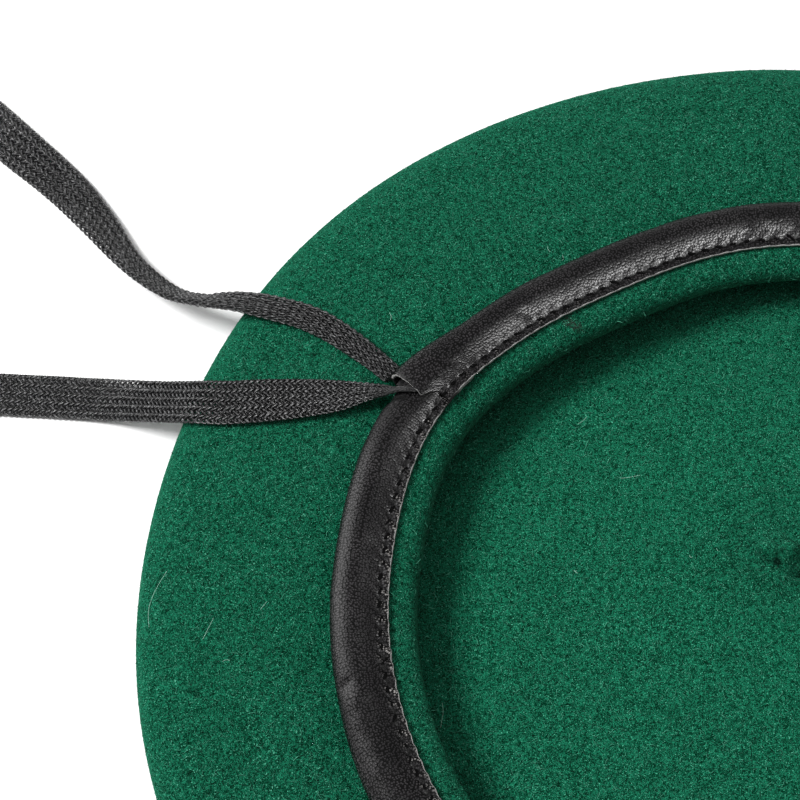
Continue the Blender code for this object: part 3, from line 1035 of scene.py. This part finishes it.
def makeStitches():
    material, tree, shader = newMaterial("stitchThread", {
        "Base Color": stitch["colour"], "Roughness": 0.8, "Specular IOR Level": 0.05,
    })
    addRelief(tree, shader, noiseField(tree, placeOn(tree), 5000.0, 1.0), 0.06 * mm, 0.6)
    row, out, across = min(bandRows(), key=lambda found: abs(found[2] - band["stitchAcross"]))
    single = meshFrom(wrapped(stitch["sides"], stitch["rings"], stitchPoint), "stitch")
    builder = bmesh.new()
    pitch = (band["end"] - band["start"]) / band["stitches"]
    for number in range(band["stitches"]):
        angle = band["start"] + pitch * (number + 0.5)
        here = bandPoint(row, out, across, angle)
        before = bandPoint(row, out, across, angle - 0.3 * pitch)
        ahead = (bandPoint(row, out, across, angle + 0.3 * pitch) - before).normalized()
        rise = 0.5 * band["wall"] - stitch["sink"] + 0.5 * stitch["radius"]
        upward = Vector((out.x * math.cos(angle), out.x * math.sin(angle), out.y))
        sideways = upward.cross(ahead)
        uneven = ripple(number * 1.7, 3.0)
        slanted = ahead - sideways * (stitch["slant"] + uneven)
        turn = slanted.to_track_quat("Z", "Y").to_matrix().to_4x4()
        thick = stitch["radius"] * (1.0 + 0.6 * ripple(number * 1.7, 8.0))
        size = Matrix.Diagonal((thick, thick, 0.5 * stitch["length"] * (1.0 + 0.7 * uneven), 1.0))
        aside = sideways * stitch["stray"] * ripple(number * 1.3, 14.0)
        place = Matrix.Translation(here + upward * rise + aside) @ turn @ size
        builder.from_mesh(single)
        builder.verts.ensure_lookup_table()
        bmesh.ops.transform(builder, matrix=place, verts=builder.verts[-len(single.vertices):])
    bpy.data.meshes.remove(single)
    addPiece("bandStitches", meshFrom(builder, "bandStitches"), "leather", material)


makeStitches()
print("stitches sewn")


# The drawstring's hidden run inside the band

hiddenRun = {
    "start": math.radians(156.0),
    "end": math.radians(518.3),
    "radius": 95.5 * mm,
    "outward": 2.8 * mm,  # how far it bends out towards the mouth over its last few degrees
    "height": 19.1 * mm,
    "width": 4.2 * mm,
    "thickness": 2.2 * mm,
    "points": 180,
    "bendFrom": math.radians(512.0),
    "bendOver": math.radians(4.5),
    "uneven": 0.06,
}


def makeHiddenRun(material):
    curve = newCurve("drawstringInBand", 0.5 * hiddenRun["thickness"], 2)
    curve.twist_mode = "Z_UP"
    curve.extrude = 0.5 * (hiddenRun["width"] - hiddenRun["thickness"])
    for number, knot in enumerate(addSpline(curve, hiddenRun["points"] + 1)):
        share = number / hiddenRun["points"]
        angle = hiddenRun["start"] + (hiddenRun["end"] - hiddenRun["start"]) * share
        bend = smoothShare((angle - hiddenRun["bendFrom"]) / hiddenRun["bendOver"])
        radius = hiddenRun["radius"] + hiddenRun["outward"] * bend
        knot.co = (*openingPoint(angle, radius, hiddenRun["height"]), 1.0)
        knot.tilt = math.radians(90.0)
        knot.radius = 1.0 + hiddenRun["uneven"] * math.sin(share * 300.0)
    piece = settle(addPiece("drawstringInBand", curve, "braid", material))
    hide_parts("drawstring_in_band")


makeHiddenRun(yarnMaterial)
print("hidden run laid")


# Nap: loose wool fibres lying on the felt

napZones = [  # name, fibres a square metre, steepest tilt in degrees, and share of the full length
    ("napFlange", 0.56e6, 24.0, 1.0),
    ("napRim", 0.50e6, 6.0, 0.50),
    ("napCrown", 0.47e6, 24.0, 1.0),
    ("napLip", 0.80e6, 26.0, 0.85),
    ("napUnder", 0.06e6, 8.0, 0.50),
]


def napShare(zone, spot, facing):
    # How thickly the fibres stand in a zone at a spot of the felt, from 0 to 1
    away = math.hypot(spot.x, spot.y) / mm
    fromOpening = math.hypot(spot.x - openingCentre[0], spot.y - openingCentre[1]) / mm
    height = spot.z / mm
    if zone == "napFlange":
        return float(away < nap["rimFrom"] and fromOpening > 97.0 and height > 11.0 and facing.z > 0.5)
    if zone == "napRim":
        outward = facing.x * spot.x + facing.y * spot.y + facing.z * 0.05
        return float(away >= nap["rimFrom"] and outward > 0.0 and height > 0.8)
    if zone == "napCrown":
        return smoothShare((95.0 - fromOpening) / 8.0) * float(height < 5.5 and facing.z > 0.3)
    if zone == "napLip":
        return float(height > 14.8 and fromOpening < 90.5 and facing.z > -0.2)
    return float(facing.z < -0.5 and height < 1.2 and away < nap["rimFrom"])


def makeNapMaterial():
    material, tree, shader = newMaterial("greenNap", {"Roughness": 0.9, "Specular IOR Level": 0.06})
    tone = ownAttribute(tree, "tone", "Fac")
    colour = blend(tree, spread(tree, tone, 0.0, 0.55), nap["dark"], nap["middle"])
    colour = blend(tree, spread(tree, tone, 0.55, 1.0), colour, nap["light"])
    # The same painted shade as on the felt
    colour = blend(tree, paintedFeltShade(tree, placeOn(tree)), rgb(0.0, 0.0, 0.0), colour)
    tree.links.new(colour, shader.inputs["Base Color"])
    return material


def makeFibreTemplates(material):
    # Bent three-sided fibres running out along X from a root just under the felt
    templates = bpy.data.collections.new("fibreTemplates")
    for number in range(nap["templates"]):
        builder = bmesh.new()
        size = nap["length"] * (0.55 + 0.9 * number / nap["templates"])
        thick = nap["radius"] * (0.8 + 0.5 * (number % 3) / 2.0)
        bmesh.ops.create_circle(builder, cap_ends=True, segments=3, radius=thick,
                                matrix=Matrix.Rotation(math.radians(90.0), 4, "Y"))
        tip = builder.faces[:][0]
        bends = [
            (0.50, 0.09, 0.22 * math.sin(number * 2.1)),
            (0.50, -0.12, 0.45 * math.sin(number * 1.3 + 1.0)),
        ]
        for along, rise, aside in bends:
            grown = bmesh.ops.extrude_face_region(builder, geom=[tip])["geom"]
            tip = next(part for part in grown if isinstance(part, bmesh.types.BMFace))
            bmesh.ops.translate(builder, verts=tip.verts, vec=(along * size, aside * size, rise * size))
        bmesh.ops.pointmerge(builder, verts=tip.verts, merge_co=tip.calc_center_median())
        bmesh.ops.recalc_face_normals(builder, faces=builder.faces)
        fibre = bpy.data.objects.new("fibre", meshFrom(builder, "fibre"))
        fibre.data.materials.append(material)
        templates.objects.link(fibre)
    return templates


def makeNapTree(templates):
    # Scatters the templates over the felt, turned at random, and makes them one mesh
    tree = bpy.data.node_groups.new("napTree", "GeometryNodeTree")
    inputs = {"Geometry": "Geometry", "Fibres": "Float", "Tilt": "Float", "Size": "Float", "Seed": "Int"}
    for name, kind in inputs.items():
        tree.interface.new_socket(name, in_out="INPUT", socket_type="NodeSocket" + kind)
    tree.interface.new_socket("Geometry", in_out="OUTPUT", socket_type="NodeSocketGeometry")
    given = addNode(tree, "NodeGroupInput", {}).outputs
    share = addNode(tree, "GeometryNodeInputNamedAttribute", {"Name": "nap"}, data_type="FLOAT").outputs[0]
    density = calc(tree, "MULTIPLY", given["Fibres"], share)
    roots = addNode(tree, "GeometryNodeDistributePointsOnFaces", {
        "Mesh": given["Geometry"], "Density": density, "Seed": given["Seed"],
    })
    steepest = calc(tree, "MULTIPLY", given["Tilt"], -1.0)
    least = addNode(tree, "ShaderNodeCombineXYZ", {"X": 0.0, "Y": steepest, "Z": 0.0})
    most = addNode(tree, "ShaderNodeCombineXYZ", {"X": 0.0, "Y": 0.03, "Z": math.tau})
    turn = addNode(tree, "FunctionNodeRandomValue", {
        0: least.outputs[0], 1: most.outputs[0], "Seed": given["Seed"],
    }, data_type="FLOAT_VECTOR").outputs[0]
    turn = addNode(tree, "FunctionNodeEulerToRotation", {"Euler": turn}).outputs[0]
    rotation = addNode(tree, "FunctionNodeRotateRotation", {
        "Rotation": roots.outputs["Rotation"], "Rotate By": turn,
    }, rotation_space="LOCAL").outputs[0]
    shapes = addNode(tree, "GeometryNodeCollectionInfo", {
        "Collection": templates, "Separate Children": True, "Reset Children": True,
    }).outputs[0]
    planted = addNode(tree, "GeometryNodeInstanceOnPoints", {
        "Points": roots.outputs["Points"], "Instance": shapes, "Pick Instance": True, "Rotation": rotation,
        "Scale": given["Size"],
    }).outputs[0]
    toneSeed = calc(tree, "ADD", given["Seed"], 5.0)
    tone = addNode(tree, "FunctionNodeRandomValue", {
        2: 0.0, 3: 1.0, "Seed": toneSeed,
    }, data_type="FLOAT").outputs[1]
    toned = addNode(tree, "GeometryNodeStoreNamedAttribute", {
        "Geometry": planted, "Name": "tone", "Value": tone,
    }, data_type="FLOAT", domain="INSTANCE").outputs[0]
    made = addNode(tree, "GeometryNodeRealizeInstances", {"Geometry": toned}).outputs[0]
    addNode(tree, "NodeGroupOutput", {"Geometry": made})
    return tree


def makeNap(felted):
    material = makeNapMaterial()
    templates = makeFibreTemplates(material)
    tree = makeNapTree(templates)
    for number, (zone, fibres, tilt, size) in enumerate(napZones):
        ground = felted.data.copy()
        shares = ground.attributes.new("nap", "FLOAT", "POINT")
        for vert in ground.vertices:
            shares.data[vert.index].value = napShare(zone, vert.co, vert.normal)
        ground.materials.clear()
        piece = addPiece(zone, ground, "felt")
        scatter = piece.modifiers.new("scatter", "NODES")
        scatter.node_group = tree
        values = {"Fibres": fibres, "Tilt": math.radians(tilt), "Size": size, "Seed": nap["seed"] + number}
        for item in tree.interface.items_tree:
            if item.name in values:
                scatter[item.identifier] = values[item.name]
        settle(piece)
        print(zone, "triangles", sum(len(face.vertices) - 2 for face in piece.data.polygons))
    for fibre in list(templates.objects):
        bpy.data.objects.remove(fibre)
    bpy.data.collections.remove(templates)
    bpy.data.node_groups.remove(tree)


makeNap(feltBody)
print("nap raised")


# Lint: a few pale loose fibres caught on the felt

lint = {
    "radius": 0.048 * mm,
    "lift": 0.15 * mm,
    "dropFrom": 60.0 * mm,  # each point falls from here onto the felt
    "colour": rgb(0.30, 0.56, 0.45),
}
lintFibres = [  # x and y in mm
    [(-130.4, -21.8), (-131.9, -26.5), (-132.4, -30.5), (-131.8, -33.3), (-131.1, -35.3)],
    [(-117.0, -31.2), (-117.6, -34.2), (-118.1, -36.6)],
    [(-106.3, -25.6), (-106.9, -26.9), (-107.2, -27.6)],
    [(-95.1, 51.4), (-94.4, 50.4), (-94.6, 49.0)],
    [(-57.6, 73.9), (-57.2, 73.1), (-57.4, 72.4)],
    [(-61.5, 75.6), (-61.2, 74.8), (-60.6, 74.2)],
    [(-110.1, 45.5), (-109.4, 45.3), (-108.8, 45.6)],
    [(-112.5, -40.9), (-111.7, -40.3), (-111.0, -40.5)],
    [(-35.8, 22.2), (-33.6, 22.8), (-31.4, 23.7)],
    [(-47.6, 34.8), (-46.6, 35.8), (-45.9, 37.0)],
    [(-42.4, -2.3), (-41.9, -2.7), (-41.4, -2.9)],
    [(-41.9, -2.2), (-41.8, -2.9)],
    [(-11.9, 8.1), (-11.7, 7.7), (-11.5, 7.5)],
    [(-17.6, 5.4), (-17.2, 5.0), (-16.9, 5.1)],
    [(-65.3, -38.1), (-64.7, -40.1), (-64.6, -41.9), (-64.5, -43.7)],
]


def makeLint(felted):
    material = newMaterial("paleLint", {
        "Base Color": lint["colour"], "Roughness": 0.8, "Specular IOR Level": 0.2,
    })[0]
    curve = newCurve("lint", lint["radius"], 0)
    for fibre in lintFibres:
        points = smoothRows(fibre, 5)
        for knot, (x, y) in zip(addSpline(curve, len(points)), points):
            spot = felted.ray_cast((x * mm, y * mm, lint["dropFrom"]), (0.0, 0.0, -1.0))[1]
            knot.co = (spot.x, spot.y, spot.z + lint["lift"] * (1.0 + ripple(x * 0.6, y * 0.6, 8.0)), 1.0)
    settle(addPiece("lint", curve, "felt", material))


makeLint(feltBody)
print("lint scattered")
